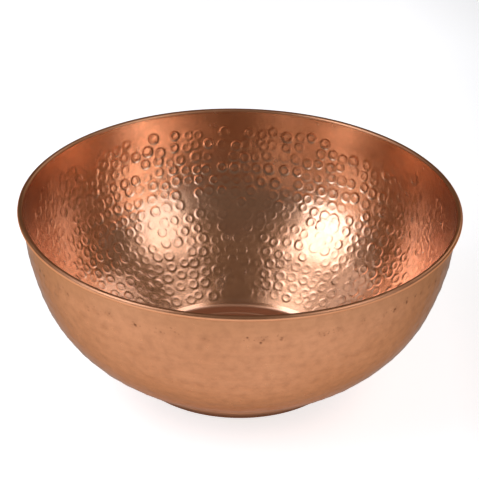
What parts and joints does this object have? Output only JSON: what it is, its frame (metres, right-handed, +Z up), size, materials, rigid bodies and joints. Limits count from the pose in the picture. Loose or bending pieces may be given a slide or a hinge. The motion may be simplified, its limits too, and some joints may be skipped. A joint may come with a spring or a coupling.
{
  "type": "mixing bowl",
  "caption": "Round deep mixing bowl in hammered copper, with ring-shaped punch marks inside, a wired rolled rim and a low foot ring.",
  "frame": {"origin": "on the table, at the centre of the foot ring's lower edge", "axes": "+Z up along the bowl's axis, out of its mouth; the bowl is round, so +X and +Y have no preferred direction"},
  "size_m": [0.3, 0.3, 0.129],
  "materials": {
    "hammered_copper": "polished satin copper, punched inside",
    "wire_copper": "drawn copper wire",
    "foot_copper": "satin copper strip",
    "braze_alloy": "filed braze"
  },
  "bodies": {
    "root": {"bowl_shell": "hammered_copper", "rim_wire": "wire_copper", "foot_ring": "foot_copper", "foot_braze": "braze_alloy"}
  },
  "joints": []
}
